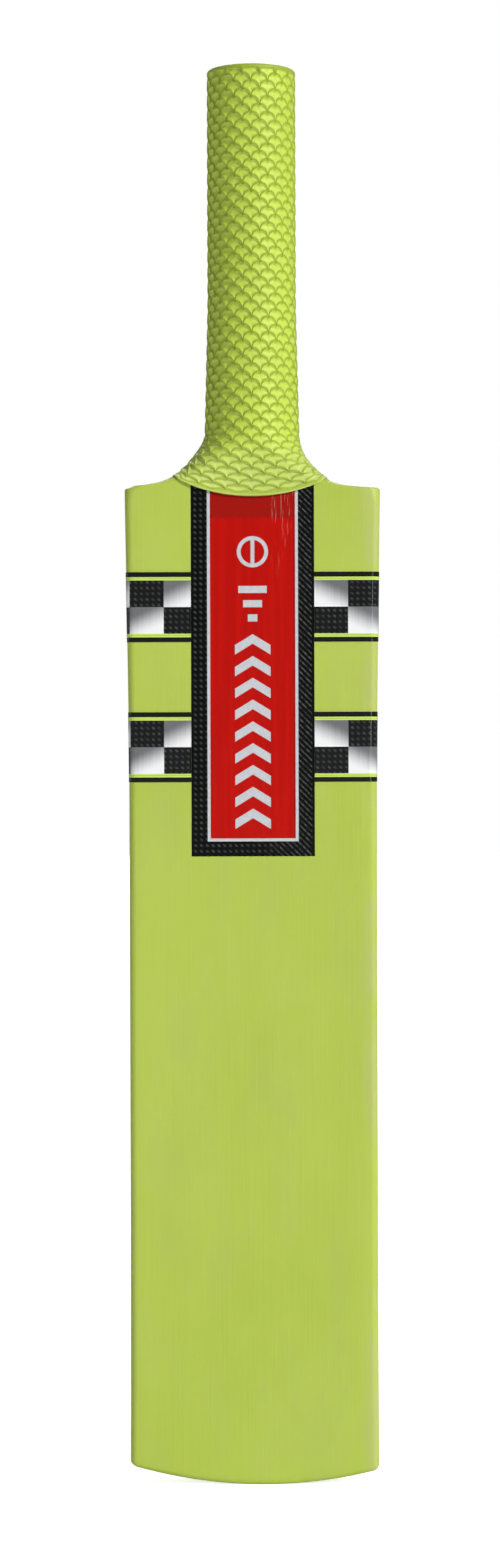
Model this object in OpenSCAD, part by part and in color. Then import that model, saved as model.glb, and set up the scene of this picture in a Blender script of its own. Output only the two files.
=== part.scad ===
// Short cricket bat for fielding practice, standing on its toe.
// +Z runs up to the handle, the hitting face looks along -Y, and +X is to the
// right as the face is looked at. The origin is on the handle's axis, level
// with the lowest point of the toe. Millimetres.

/* [Blade] */
// Width across the shoulders, the widest place
shoulder_w = 108; // [100:0.5:108]
// Width halfway down the blade
waist_w = 104.5; // [98:0.5:106]
// Width just above the toe
toe_w = 105; // [98:0.5:107]
// Height of the shoulders above the toe
shoulder_z = 421; // [412:1:440]
// How far the toe's corners stand above its middle
toe_sag = 9; // [4:0.5:12]
// Thickness at the edges, at the toe
edge_toe_t = 17; // [14:0.5:20]
// Thickness at the edges, at the swell
edge_swell_t = 22; // [18:0.5:26]
// Thickness at the edges, at the shoulders
edge_shoulder_t = 16; // [14:0.5:18]
// Thickness from the face to the spine, at the toe
spine_toe_t = 20; // [18:0.5:24]
// Thickness from the face to the spine, at the swell
spine_swell_t = 37; // [32:0.5:37]
// Thickness from the face to the spine, at the shoulders
spine_shoulder_t = 35.5; // [34:0.5:36]
// Height of the swell, the thickest place
swell_z = 140; // [110:5:200]
// Rounding of the edges beside the face
edge_r = 3; // [2.8:0.1:4]

/* [Handle] */
// Overall length of the bat, toe to the grip's end
bat_l = 600; // [590:1:640]
// Radius of the cane where the handle is straight
cane_r = 16; // [14:0.25:16.5]
// Thickness of the rubber springs between the cane slabs
spring_t = 1.6; // [1:0.1:2.5]
// Depth of the splice below the top of the neck
splice_l = 139; // [100:1:150]
// Width of the splice's blunt tip
splice_tip_w = 6; // [5:0.5:10]
// Thickness of the twine binding
twine_t = 0.9; // [0.5:0.1:1.2]

/* [Grip] */
// Thickness of the rubber sleeve
grip_t = 2; // [1.2:0.1:3]
// Height where the straight part of the handle begins
straight_z = 500; // [480:1:510]
// How far the rim hangs below the shoulders, in the middle of the face
rim_drop = 3.8; // [3:0.2:6]
// How fast the rim climbs towards the sides, per mm
rim_rise = 0.0075; // [0.007:0.0001:0.008]
// Radius of the hole in the grip's end
end_hole_r = 12; // [8:0.5:13]

/* [Labels] */
// Width of the face label
label_w = 52; // [40:0.5:54]
// Height of the face label's lower end
label_z = 265.4; // [240:0.2:290]
// Width of the black margin around the red panel
label_margin = 6.8; // [5:0.1:9]
// Width of the silver line around the red panel
border_w = 1.25; // [0.8:0.05:2]
// Height of each checkered band
band_h = 29.5; // [20:0.5:34]
// Lower edge of the upper pair of bands
upper_band_z = 355.9; // [350:0.1:370]
// Lower edge of the lower pair of bands
lower_band_z = 296.8; // [280:0.1:310]

/* [Hidden] */
face_y = 17.5;                      // the face lies this far in front of the axis
neck_r = 18.25;                     // the round top of the blade's neck
neck_top_z = shoulder_z + 25;
cane_neck_r = neck_r - 1.05;        // the cane where it leaves the neck
shoulder_r = 1.5;                   // outer corner of each shoulder
toe_r = 2.5;                        // rounding all round the toe
back_r = 4;                         // rounding of the edges beside the back
spine_soft = 6;                     // the spine's crest is rounded over this width
ledge_x = 31;                       // the shoulder's top meets the neck here
ledge_slope = 0.137;                // the shoulder's top rises towards the neck
ledge_bend = 0.004;
ledge_run = shoulder_w / 2 - shoulder_r - ledge_x;
ledge_top_z = shoulder_z + ledge_slope * ledge_run + ledge_bend * pow(ledge_run, 2);
neck_curve = (ledge_x - neck_r) / pow(neck_top_z - ledge_top_z, 2);
widen_z = 300;                      // the blade widens from here up to the shoulders
toe_widen_z = 100;                  // and from here down to the toe
toe_fade_z = 90;                    // above this the sections are level
round_start_z = shoulder_z - 7;     // the sections start to turn round here
flat_end_z = shoulder_z + 3;        // the face stays flat up to here

cane_top_z = bat_l - 2.2;
splice_tip_z = neck_top_z - splice_l;
slab_x = 8.4;                       // middle of the side springs
past = 30;                          // reach of a cutting block past the handle
twine_top_z = cane_top_z - 6;
twine_neck_r = cane_neck_r + twine_t;
twine_r = cane_r + twine_t;
grip_r = twine_r + grip_t;
grip_neck_r = twine_neck_r + grip_t + 0.15;
rim_z = shoulder_z - rim_drop;
rim_t = 1.5;                        // the grip stands this far off the blade at its rim
glue_gap = 0.35;                    // and is hollow this far over the blade and labels
bed = 0.05;                         // the flare's top is sunk this far inside the sleeve
bed_h = 2;
end_round = 1.2;

label_t = 0.15;
ink_t = 0.08;
label_top_z = shoulder_z + 2;
label_gap = 0.05;
band_lift = 0.02;
band_wrap = 14;                     // the bands end this far in from the edge, on the back
panel_x = label_w / 2 - label_margin - border_w;
panel_z = label_z + 6.3 + border_w;
panel_h = label_top_z - panel_z;

chevron_w = 15;
chevron_h = 4.6;
chevron_t = 4;
chevron_count = 9;
chevron_z = panel_z + 4;
chevron_pitch = 0.0613 * panel_h;
dash_z = panel_z + 0.62 * panel_h;
dash_pitch = 0.04 * panel_h;
dash_t = 3;
ball_r = 6.6;
ball_line = 1.6;
ball_z = panel_z + 0.806 * panel_h;

arc_steps = 4;
spread = [0, 0.06, 0.15, 0.35, 0.65, 1];
flare_columns = 72;
flare_rows = 9;
$fn = 96;

COLUMNS = ["left_outer", "left_inner", "right_inner", "right_outer"];
SPRINGS = ["left", "centre", "right"];
BANDS = ["upper_left", "upper_right", "lower_left", "lower_right"];

function mix(a, b, t) = a + (b - a) * t;
function clamp01(t) = min(1, max(0, t));
function smooth(t) = let (c = clamp01(t)) c * c * (3 - 2 * c);

// ---- outline of the blade, and how its section changes with height ----

// x where the shoulder's top surface has climbed to height z
function ledge_w(z) =
    shoulder_w / 2 - shoulder_r
    - (sqrt(pow(ledge_slope, 2) + 4 * ledge_bend * (z - shoulder_z)) - ledge_slope) / (2 * ledge_bend);

function side_w(z) =
    waist_w / 2
    + (toe_w - waist_w) / 2 * pow(clamp01(1 - z / toe_widen_z), 2)
    + (shoulder_w - waist_w) / 2 * pow(clamp01((z - widen_z) / (shoulder_z - shoulder_r - widen_z)), 2);

function corner_w(z) =
    shoulder_w / 2 - shoulder_r + sqrt(pow(shoulder_r, 2) - pow(z - shoulder_z + shoulder_r, 2));

function half_w(z) =
    z <= shoulder_z - shoulder_r ? side_w(z) :
    z <= shoulder_z ? corner_w(z) :
    z <= ledge_top_z ? ledge_w(z) :
    neck_r + neck_curve * pow(neck_top_z - z, 2);

function front_depth(z) = mix(face_y, neck_r, smooth((z - flat_end_z) / (neck_top_z - flat_end_z)));

function along_blade(z, toe, swell, shoulder) =
    z < swell_z
    ? swell + (toe - swell) * pow(1 - z / swell_z, 2)
    : mix(swell, shoulder, smooth((z - swell_z) / (shoulder_z - swell_z)));

function spine_y(z) =
    z <= shoulder_z
    ? along_blade(z, spine_toe_t, spine_swell_t, spine_shoulder_t) - face_y
    : mix(spine_shoulder_t - face_y, neck_r, smooth((z - shoulder_z) / (neck_top_z - shoulder_z)));

function back_slope(z) =
    let (low = min(z, shoulder_z))
    let (edge_y = along_blade(low, edge_toe_t, edge_swell_t, edge_shoulder_t) - face_y)
    let (fade = 1 - smooth((z - shoulder_z) / (neck_top_z - shoulder_z)))
    fade * (spine_y(low) - edge_y) / (side_w(low) - spine_soft);

function rounding(z, r) =
    mix(r, neck_r - bed, smooth((z - round_start_z) / (neck_top_z - round_start_z)));

function toe_inset(z) = z >= toe_r ? 0 : toe_r - sqrt(pow(toe_r, 2) - pow(toe_r - z, 2));

function toe_arc(x, z) = toe_sag * pow(2 * x / toe_w, 2) * pow(clamp01(1 - z / toe_fade_z), 2);

// Right half of a level section grown outwards, from x_front on the face,
// round the edge, to x_back on the back. It has 2 * (arc_steps + len(spread)) points.
function half_section(z, grow, x_front, x_back) =
    let (w = half_w(z) + grow)
    let (front = front_depth(z) + grow)
    let (rf = rounding(z, edge_r) + grow)
    let (rb = rounding(z, back_r) + grow)
    let (slope = back_slope(z))
    let (tilt = atan(slope))
    let (crest = spine_y(z) + grow + slope * spine_soft)
    let (arc_y = crest - rb / cos(tilt) - slope * (w - rb))
    let (x_end = w - rb + rb * sin(tilt))
    concat(
        [for (u = spread) [mix(x_front, w - rf, u), -front]],
        [for (j = [1:arc_steps])
            let (a = 90 * j / arc_steps)
            [w - rf + rf * sin(a), -front + rf * (1 - cos(a))]],
        [for (j = [0:arc_steps - 1])
            let (a = (90 - tilt) * j / arc_steps)
            [w - rb + rb * cos(a), arc_y + rb * sin(a)]],
        [for (i = [len(spread) - 1:-1:0])
            let (x = mix(x_back, x_end, spread[i]))
            let (soft = (sqrt(x * x + spine_soft * spine_soft) - x) * (1 - x / x_end))
            [x, crest - slope * (x + soft)]]
    );

function lifted(p, z) = [p[0], p[1], z + toe_arc(p[0], z)];
function mirrored(p) = [-p[0], p[1], p[2]];

// Whole section of the blade: the front chain from left to right, then the
// back chain from right to left, with as many points in each.
function blade_ring(z) =
    let (h = [for (p = half_section(z, -toe_inset(z), 0, 0)) lifted(p, z)])
    let (m = len(h))
    concat(
        [for (i = [m / 2 - 1:-1:1]) mirrored(h[i])],
        [for (i = [0:m - 1]) h[i]],
        [for (i = [m - 2:-1:m / 2]) mirrored(h[i])]
    );

toe_rows = [for (a = [0:22.5:90]) toe_r * (1 - cos(a))];
body_rows = [for (z = [12:12:widen_z]) z];
upper_rows = [for (i = [1:8]) mix(widen_z, shoulder_z - shoulder_r, i / 8)];
corner_rows = [for (a = [30:30:90]) shoulder_z - shoulder_r + shoulder_r * sin(a)];
ledge_rows = [for (i = [1:6])
    let (d = ledge_run * i / 6)
    shoulder_z + ledge_slope * d + ledge_bend * d * d];
neck_rows = [for (i = [1:8]) mix(ledge_top_z, neck_top_z, i / 8)];
blade_rows = concat(toe_rows, body_rows, upper_rows, corner_rows, ledge_rows, neck_rows);
splice_rows = concat(
    [for (i = [0:4]) mix(widen_z, shoulder_z, i / 4)],
    [for (i = [0:6]) mix(ledge_top_z, neck_top_z, i / 6)]);

// Solid through rings that each hold a front chain and a back chain.
// The end caps are strips between the two chains.
module loft(rings) {
    n = len(rings[0]);
    top = (len(rings) - 1) * n;
    sides = [for (j = [0:len(rings) - 2]) for (i = [0:n - 1])
        let (a = j * n + i, b = j * n + (i + 1) % n)
        each [[a, a + n, b + n], [a, b + n, b]]];
    caps = [for (i = [0:n / 2 - 2])
        let (a = i, b = i + 1, c = n - 2 - i, d = n - 1 - i)
        each [[a, b, c], [a, c, d], [top + a, top + c, top + b], [top + a, top + d, top + c]]];
    polyhedron(points = [for (r = rings) each r], faces = concat(sides, caps));
}

// ---- blade ----

module splice_wedge() {
    grow = (cane_neck_r - splice_tip_w / 2) / splice_l;
    over = 5;
    rotate([90, 0, 0])
        linear_extrude(2 * past, center = true)
            polygon([
                [-splice_tip_w / 2, splice_tip_z],
                [splice_tip_w / 2, splice_tip_z],
                [cane_neck_r + grow * over, neck_top_z + over],
                [-cane_neck_r - grow * over, neck_top_z + over]
            ]);
}

module blade() {
    color("yellowgreen")
        difference() {
            loft([for (z = blade_rows) blade_ring(z)]);
            splice_wedge();
        }
}

// ---- handle ----

module round_handle() {
    rotate_extrude()
        polygon([
            [0, neck_top_z],
            [cane_neck_r, neck_top_z],
            [cane_r, straight_z],
            [cane_r, cane_top_z],
            [0, cane_top_z]
        ]);
}

module handle_slice(x0, x1) {
    intersection() {
        translate([x0, -past, neck_top_z])
            cube([x1 - x0, 2 * past, bat_l - neck_top_z]);
        round_handle();
    }
    intersection() {
        translate([x0, -past, splice_tip_z])
            cube([x1 - x0, 2 * past, splice_l]);
        splice_wedge();
        loft([for (z = splice_rows) blade_ring(z)]);
    }
}

slab_bounds = [
    [-past, -slab_x - spring_t / 2],
    [-slab_x + spring_t / 2, -spring_t / 2],
    [spring_t / 2, slab_x - spring_t / 2],
    [slab_x + spring_t / 2, past]
];

module cane_slab(column) {
    x = slab_bounds[column];
    color("burlywood")
        handle_slice(x[0], x[1]);
}

module handle_spring(i) {
    x = (i - 1) * slab_x;
    color("dimgray")
        handle_slice(x - spring_t / 2, x + spring_t / 2);
}

module twine_binding() {
    color("wheat")
        rotate_extrude()
            polygon([
                [cane_neck_r, neck_top_z],
                [twine_neck_r, neck_top_z],
                [twine_r, straight_z],
                [twine_r, twine_top_z],
                [cane_r, twine_top_z],
                [cane_r, straight_z]
            ]);
}

// ---- grip ----

// Corner of the grip's end, rounded, from the outer wall in to the hole
function end_corner(x, z, side) = [for (a = side > 0 ? [0:30:90] : [90:30:180])
    [x + end_round * cos(a), z + end_round * sin(a)]];

module grip_sleeve() {
    rotate_extrude()
        polygon(concat(
            [[twine_neck_r, neck_top_z], [grip_neck_r, neck_top_z], [grip_r, straight_z]],
            end_corner(grip_r - end_round, bat_l - end_round, 1),
            end_corner(end_hole_r + end_round, bat_l - end_round, -1),
            [[end_hole_r, cane_top_z], [cane_r, cane_top_z], [cane_r, twine_top_z]],
            [[twine_r, twine_top_z], [twine_r, straight_z]]
        ));
}

// Distance from the axis to the blade's section, in the direction that is
// turned by the angle phi from the face's normal towards +X
function reach(z, grow, phi) =
    let (h = half_section(z, grow, 0, 0))
    let (turn = [for (p = h) atan2(p[0], -p[1])])
    let (hits = [for (i = [0:len(h) - 2]) if (turn[i] <= phi && phi <= turn[i + 1]) i])
    let (a = h[hits[0]], b = h[hits[0] + 1])
    let (d = [sin(phi), -cos(phi)])
    let (e = b - a)
    (a[0] * e[1] - a[1] * e[0]) / (d[0] * e[1] - d[1] * e[0]);

// Height of the rim in the direction phi
function rim_height(phi) =
    rim_z + rim_rise * pow(reach(ledge_top_z, 0, phi) * sin(phi), 2);

// One upright cut through the flare: up its outer skin and down its inner one
function flare_cut(turn) =
    let (phi = turn <= 180 ? turn : 360 - turn)
    let (low = rim_height(phi))
    let (d = [sin(turn), -cos(turn)])
    concat(
        [for (i = [0:flare_rows])
            let (v = i / flare_rows, z = mix(low, neck_top_z, v))
            let (r = reach(z, mix(rim_t, grip_neck_r - neck_r - bed, smooth(v)), phi))
            [r * d[0], r * d[1], z]],
        [for (r = [grip_neck_r - 2 * bed, twine_neck_r + 2 * bed])
            [r * d[0], r * d[1], neck_top_z + bed_h]],
        [for (i = [flare_rows:-1:0])
            let (v = i / flare_rows, z = mix(low, neck_top_z, v))
            let (r = reach(z, mix(glue_gap, bed, smooth(v)), phi))
            [r * d[0], r * d[1], z]]
    );

module grip_flare() {
    cuts = [for (i = [0:flare_columns - 1]) flare_cut(360 * i / flare_columns)];
    k = len(cuts[0]);
    n = flare_columns * k;
    faces = [for (i = [0:flare_columns - 1]) for (j = [0:k - 1])
        let (a = i * k + j, b = i * k + (j + 1) % k)
        let (c = (a + k) % n, d = (b + k) % n)
        each [[a, b, d], [a, d, c]]];
    polyhedron(points = [for (c = cuts) each c], faces = faces);
}

module grip() {
    color("greenyellow") {
        grip_sleeve();
        grip_flare();
    }
}

// ---- labels ----

// Flat sheet on the face, with its lower left corner at x, z and its back
// standing off the face by the thickness of what is under it
module sheet(x, z, w, h, under, t) {
    translate([x, -face_y - under - t, z])
        cube([w, t, h]);
}

module face_label() {
    color("black")
        sheet(-label_w / 2, label_z, label_w, label_top_z - label_z, 0, label_t);
}

module centre_panel() {
    color("red")
        sheet(-panel_x, panel_z, 2 * panel_x, panel_h, label_t, ink_t);
}

module panel_border() {
    color("silver")
        difference() {
            sheet(-panel_x - border_w, panel_z - border_w,
                2 * (panel_x + border_w), panel_h + border_w, label_t, ink_t);
            translate([-panel_x, -past, panel_z])
                cube([2 * panel_x, past, 2 * panel_h]);
        }
}

// Draws a flat figure, given in x and z, on top of the red panel
module on_panel() {
    translate([0, -face_y - label_t - ink_t, 0])
        rotate([90, 0, 0])
            linear_extrude(ink_t)
                children();
}

module chevron() {
    polygon([
        [-chevron_w / 2, 0],
        [0, chevron_h],
        [chevron_w / 2, 0],
        [chevron_w / 2, chevron_t],
        [0, chevron_h + chevron_t],
        [-chevron_w / 2, chevron_t]
    ]);
}

module ball_mark() {
    difference() {
        circle(ball_r);
        circle(ball_r - ball_line);
    }
    square([ball_line, 2 * ball_r - ball_line], center = true);
}

module emblem() {
    color("gainsboro")
        on_panel() {
            for (i = [0:chevron_count - 1])
                translate([0, chevron_z + i * chevron_pitch])
                    chevron();
            for (i = [0:2])
                translate([0, dash_z + i * dash_pitch])
                    square([4 + 4 * i, dash_t], center = true);
            translate([0, ball_z])
                ball_mark();
        }
}

// A thin band from the face label round the edge to the back
module wing_band(z, side) {
    rows = [for (i = [0:3]) z + band_h * i / 3];
    start = label_w / 2 + label_gap;
    rings = [for (h = rows)
        let (stop = half_w(h) - band_wrap)
        let (outer = half_section(h, band_lift + label_t, start, stop))
        let (inner = half_section(h, band_lift, start, stop))
        let (m = len(outer))
        concat(
            [for (i = [0:m - 1]) lifted(outer[i], h)],
            [for (i = [m - 1:-1:0]) lifted(inner[i], h)]
        )];
    color("gray")
        mirror([side < 0 ? 1 : 0, 0, 0])
            loft(rings);
}

blade();
grip();
twine_binding();
for (c = [0:3])
    cane_slab(c);
for (i = [0:2])
    handle_spring(i);
face_label();
centre_panel();
panel_border();
emblem();
wing_band(upper_band_z, -1);  // wing_band_upper_left
wing_band(upper_band_z, 1);  // wing_band_upper_right
wing_band(lower_band_z, -1);  // wing_band_lower_left
wing_band(lower_band_z, 1);  // wing_band_lower_right
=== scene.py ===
"""Looks of the short cricket bat: painted blade, scaled rubber grip and printed film labels."""

import math

import bpy
import numpy as np
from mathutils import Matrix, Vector


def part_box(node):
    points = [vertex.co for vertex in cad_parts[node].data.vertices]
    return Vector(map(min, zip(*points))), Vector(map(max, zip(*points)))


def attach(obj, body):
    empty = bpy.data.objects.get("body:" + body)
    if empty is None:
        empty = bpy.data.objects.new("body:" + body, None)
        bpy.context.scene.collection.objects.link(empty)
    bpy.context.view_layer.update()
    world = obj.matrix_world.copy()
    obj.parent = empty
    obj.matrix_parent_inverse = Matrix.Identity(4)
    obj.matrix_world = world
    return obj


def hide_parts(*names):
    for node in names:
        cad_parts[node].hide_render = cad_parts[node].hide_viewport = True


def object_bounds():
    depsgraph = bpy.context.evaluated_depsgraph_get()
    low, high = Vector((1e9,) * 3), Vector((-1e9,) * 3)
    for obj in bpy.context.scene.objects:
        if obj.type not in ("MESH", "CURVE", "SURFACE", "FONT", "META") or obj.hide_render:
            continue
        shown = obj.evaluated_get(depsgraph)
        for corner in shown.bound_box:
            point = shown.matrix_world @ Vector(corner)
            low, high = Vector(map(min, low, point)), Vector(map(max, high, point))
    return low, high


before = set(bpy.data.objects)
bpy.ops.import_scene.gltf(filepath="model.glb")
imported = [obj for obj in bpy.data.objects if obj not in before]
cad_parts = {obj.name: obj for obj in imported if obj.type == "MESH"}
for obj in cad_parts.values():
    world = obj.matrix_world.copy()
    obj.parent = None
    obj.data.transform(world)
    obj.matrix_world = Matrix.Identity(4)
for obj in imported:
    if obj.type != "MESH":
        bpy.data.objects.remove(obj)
CAD_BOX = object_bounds()

MM = 0.001

# ---- sizes in millimetres ----
# They follow the CAD model, except at the toe, the shoulders and the neck, which it keeps symmetrical.
# Tables by side call the right side 1 and the left side -1.

BLADE_LOW, BLADE_HIGH = (np.array(corner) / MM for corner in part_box("blade"))
GRIP_HIGH = np.array(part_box("grip")[1]) / MM
LABEL_HIGH = np.array(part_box("face_label")[1]) / MM
PANEL_HIGH = np.array(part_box("centre_panel")[1]) / MM
CANE_TOP_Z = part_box("cane_left_inner")[1].z / MM
TWINE_TOP_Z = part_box("twine_binding")[1].z / MM

PAINT_T = 0.08                # the paint stands out from the wood by this
SHOULDER_W = BLADE_HIGH[0] - BLADE_LOW[0] - 2 * PAINT_T
NECK_TOP_Z = BLADE_HIGH[2]
BAT_TOP_Z = GRIP_HIGH[2]
SHOULDER_Z = NECK_TOP_Z - 25
WAIST_W = 104.5
TOE_W = 105
TOE_CURVE = 0.0026            # the toe rises by this times the squared distance from its lowest point
TOE_LOW_X = 4
TOE_FADE_Z = 90               # the toe's curve has died out here
TOE_WIDEN_Z = 100             # the sides spread towards the toe below this
TOE_R = 2.5
FACE_Y = 17.5
NECK_R = 18.25
NECK_ROUND_R = NECK_R - 0.05  # just under the neck's radius, so that no section folds over
SWELL_Z = 140
EDGE_T = (17, 22, 16)         # at the toe, the swell and the shoulders
SPINE_T = (20, 37, 35.5)
EDGE_R = 3
BACK_R = 4
SPINE_SOFT = 6
WIDEN_Z = 300                 # the sides spread towards the shoulders above this
WIDEN_POWER = 1.2             # and grow with this power of the height
SHOULDER_R = 1.0
LEDGE_LIFT = {1: 0.0, -1: 0.8}          # the left shoulder is a little higher than the right
LEDGE_LIFT_RUN = 3            # the lift is reached this far in from the corner
LEDGE_SLOPE = {1: 0.07, -1: 0.12}
LEDGE_BEND = {1: 1.115e-5, -1: 1.7e-5}
LEDGE_TOP_Z = SHOULDER_Z + 5
LEDGE_END_Z = LEDGE_TOP_Z + 4           # the neck alone gives the width above this
NECK_CURVE = 0.0312
NECK_BULGE = 2.7              # the left side of the neck is fuller by this
NECK_BULGE_H = 13
ROUND_START_Z = SHOULDER_Z - 7
FLAT_END_Z = SHOULDER_Z + 3
STRAIGHT_Z = 500              # the handle has one thickness from here up

TWINE_R = 16.9
TWINE_NECK_R = 18.1
CANE_R = 16
GRIP_R = 18.9
GRIP_NECK_R = GRIP_HIGH[1]
END_HOLE_R = 12
END_ROUND = 1.2
RIM_Z = SHOULDER_Z - 3.8      # the rim's lowest point, on the middle of the face
RIM_RISE = 0.0072             # its rise with the square of the distance from the middle
RIM_LIFT = 1.2e-6             # its rise with the fourth power
RIM_T = 1.5
TIP_THINNING = 0.65           # how much thinner the rim is where it crosses the shoulders
TIP_POWER = 6                 # how late the thinning sets in, going round
TOUCH = 0.05                  # gap between surfaces that rest on each other
GLUE_GAP = 0.3                # gap between the rim's hidden side and the blade

BAND_T = 0.2
BAND_LIFT = 0.01              # gap between a band and the paint
BAND_WRAP = 14                # how far a band runs onto the back
BAND_START_X = LABEL_HIGH[0] + TOUCH
BAND_ROWS = 13
BAND_CREASE = 50              # degrees from which a band's edges stay sharp
CHECK_W = 14.5
CHECK_EDGE_LEFT = 37.5        # between the first and second column of checks, from the middle
CHECK_EDGE_RIGHT = 40.3


def mix(a, b, t):
    return a + (b - a) * t


def clamp01(t):
    return np.clip(t, 0, 1)


def smooth(t):
    c = clamp01(t)
    return c * c * (3 - 2 * c)


# ---- the blade's surface ----

LEDGE_RUNS = np.linspace(0, 30, 301)    # distances in from the shoulder's corner
ARC_STEPS = 8                 # mesh steps round an edge of the blade
FLAT_STEPS = 8                # across half of the face or the back
BAND_FLAT_STEPS = 10
BLADE_FLAT_STEPS = 18
CROWDING = 1.5                # crowds those steps towards the middle
BODY_START_Z = 5              # the lowest ring above the toe's rounding
LEDGE_CROWDING = 1.6          # crowds the rings towards the low end of the ledges


def ledge_w(z, side):
    """Distance from the middle to the shoulder's top at height z."""
    lift = LEDGE_LIFT[side] * smooth(LEDGE_RUNS / LEDGE_LIFT_RUN)
    climb = lift + LEDGE_SLOPE[side] * LEDGE_RUNS + LEDGE_BEND[side] * LEDGE_RUNS ** 4
    return SHOULDER_W / 2 - SHOULDER_R - np.interp(z - SHOULDER_Z, climb, LEDGE_RUNS)


def neck_w(z, side):
    """Half the neck's width at height z, on one side."""
    bulge = NECK_BULGE * smooth((NECK_TOP_Z - z) / NECK_BULGE_H) if side < 0 else 0
    return NECK_R + NECK_CURVE * (NECK_TOP_Z - z) ** 2 + bulge


def side_w(z):
    """Half the blade's width below the shoulders."""
    widening = clamp01((z - WIDEN_Z) / (SHOULDER_Z - SHOULDER_R - WIDEN_Z))
    toe = (TOE_W - WAIST_W) / 2 * clamp01(1 - z / TOE_WIDEN_Z) ** 2
    top = (SHOULDER_W - WAIST_W) / 2 * widening ** WIDEN_POWER
    return WAIST_W / 2 + toe + top


def half_w(z, side):
    """Half the width of the blade and its neck at any height, on one side."""
    if z <= SHOULDER_Z - SHOULDER_R:
        return side_w(z)
    if z <= SHOULDER_Z:
        up = z - SHOULDER_Z + SHOULDER_R
        return SHOULDER_W / 2 - SHOULDER_R + math.sqrt(SHOULDER_R ** 2 - up ** 2)
    if z < LEDGE_END_Z:
        return max(ledge_w(z, side), neck_w(z, side))
    return neck_w(z, side)


def neck_share(z, start):
    """How far height z has come from start to the top of the neck, eased, from 0 to 1."""
    return smooth((z - start) / (NECK_TOP_Z - start))


def along_blade(z, sizes):
    """A size that is given at the toe, the swell and the shoulders, at height z."""
    toe, swell, shoulder = sizes
    if z < SWELL_Z:
        return swell + (toe - swell) * (1 - z / SWELL_Z) ** 2
    return mix(swell, shoulder, smooth((z - SWELL_Z) / (SHOULDER_Z - SWELL_Z)))


def spine_y(z):
    """Y of the back along its middle."""
    low = along_blade(min(z, SHOULDER_Z), SPINE_T) - FACE_Y
    return mix(low, NECK_R, neck_share(z, SHOULDER_Z))


def back_slope(z):
    """Fall of the back from the spine towards the edge, for each millimetre across."""
    low = min(z, SHOULDER_Z)
    fall = along_blade(low, SPINE_T) - along_blade(low, EDGE_T)
    return (1 - neck_share(z, SHOULDER_Z)) * fall / (side_w(low) - SPINE_SOFT)


def toe_inset(z):
    """How far the toe's rounding draws the section in."""
    return 0 if z >= TOE_R else TOE_R - math.sqrt(TOE_R ** 2 - (TOE_R - z) ** 2)


def toe_arc(x, z):
    """How far the toe's curve raises a point of the blade."""
    return TOE_CURVE * (x - TOE_LOW_X) ** 2 * clamp01(1 - z / TOE_FADE_Z) ** 2


def half_section(z, grow, side, x_front=0.0, x_back=0.0, flat=FLAT_STEPS):
    """Half of a level section, from the face round the edge to the back.

    Each point is its distance from the middle and its y. The section is larger by grow all round.
    """
    share = neck_share(z, ROUND_START_Z)
    w = half_w(z, side) + grow
    front = mix(FACE_Y, NECK_R, neck_share(z, FLAT_END_Z)) + grow
    r_front = mix(EDGE_R, NECK_ROUND_R, share) + grow
    r_back = mix(BACK_R, NECK_ROUND_R, share) + grow
    slope = back_slope(z)
    tilt = math.atan(slope)
    crest = spine_y(z) + grow + slope * SPINE_SOFT
    arc_y = crest - r_back / math.cos(tilt) - slope * (w - r_back)
    x_end = w - r_back + r_back * math.sin(tilt)
    spread = np.linspace(0, 1, flat + 1) ** CROWDING
    turn = np.linspace(0, math.pi / 2, ARC_STEPS + 1)[1:]
    back_turn = np.linspace(0, math.pi / 2 - tilt, ARC_STEPS + 1)[:-1]
    x_roof = mix(x_back, x_end, spread[::-1])
    soft = (np.sqrt(x_roof ** 2 + SPINE_SOFT ** 2) - x_roof) * (1 - x_roof / x_end)
    xs = np.concatenate([
        mix(x_front, w - r_front, spread),
        w - r_front + r_front * np.sin(turn),
        w - r_back + r_back * np.cos(back_turn),
        x_roof])
    ys = np.concatenate([
        np.full(flat + 1, -front),
        -front + r_front * (1 - np.cos(turn)),
        arc_y + r_back * np.sin(back_turn),
        crest - slope * (x_roof + soft)])
    return np.stack([xs, ys], axis=1)


def lifted(section, z, side):
    """Points of a half section on its side of the blade, raised by the toe's curve."""
    x = side * section[:, 0]
    return np.column_stack([x, section[:, 1], z + toe_arc(x, z)])


def blade_ring(z):
    """Closed section: the face from left to right, then the back from right to left."""
    grow = PAINT_T - toe_inset(z)
    right, left = (
        lifted(half_section(z, grow, side, flat=BLADE_FLAT_STEPS), z, side) for side in (1, -1))
    left = left[::-1]
    half = len(right) // 2
    return np.concatenate([left[half:-1], right, left[1:half]])


def blade_heights():
    """Heights of the blade's rings, closest together where its outline turns."""
    toe = TOE_R * (1 - np.cos(np.linspace(0, math.pi / 2, 8)))
    body = np.linspace(BODY_START_Z, WIDEN_Z, 60)
    upper = np.linspace(WIDEN_Z, SHOULDER_Z - SHOULDER_R, 30)[1:]
    corner = SHOULDER_Z - SHOULDER_R + SHOULDER_R * np.sin(np.linspace(0, math.pi / 2, 7)[1:])
    ledge = SHOULDER_Z + (LEDGE_TOP_Z - SHOULDER_Z) * np.linspace(0, 1, 41)[1:] ** LEDGE_CROWDING
    neck = np.linspace(LEDGE_TOP_Z, NECK_TOP_Z, 26)[1:]
    return np.concatenate([toe, body, upper, corner, ledge, neck])


# ---- meshes ----

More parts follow.
